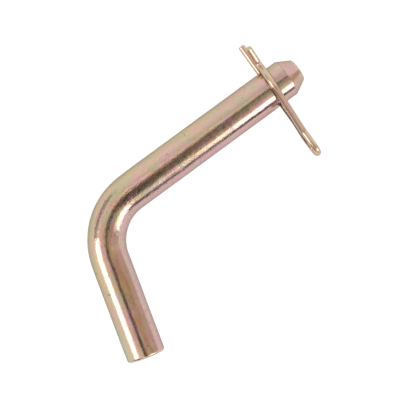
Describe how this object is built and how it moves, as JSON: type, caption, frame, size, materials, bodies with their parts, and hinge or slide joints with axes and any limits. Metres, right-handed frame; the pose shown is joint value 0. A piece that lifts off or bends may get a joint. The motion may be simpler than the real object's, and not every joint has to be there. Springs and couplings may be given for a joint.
{
  "type": "hitch pin",
  "caption": "Bent round-bar hitch pin with a chamfered nose, locked by a spring wire clip that passes through a cross hole and hugs the shank.",
  "frame": {"origin": "on the shank's axis, where the straight shank meets the bend", "axes": "+X along the shank towards the chamfered nose, the short leg turns off towards -Y, and +Z is the side of the shank that the clip's curved leg hugs"},
  "size_m": [0.1255, 0.0804, 0.0187],
  "materials": {
    "pin_plating": "yellow chromate over zinc on steel bar, satin bright with iridescent bands",
    "clip_plating": "yellow chromate over zinc on spring wire, bright with greenish and brown tints"
  },
  "bodies": {
    "pin": {"hitch_pin": "pin_plating"},
    "clip": {"clip_straight_leg": "clip_plating"},
    "clip_spring": {"clip_spring_leg": "clip_plating"}
  },
  "joints": [
    {"name": "clip_pull", "type": "slide", "parent": "pin", "child": "clip", "axis": [0, -1, 0], "range_m": [0, 0.04], "deforming": ["clip_spring_leg"]},
    {"name": "leg_spread", "type": "hinge", "parent": "clip", "child": "clip_spring", "pos_m": [0.0709, -0.032, 0.00011], "axis": [1, 0, 0], "range_deg": [0, 12]}
  ]
}
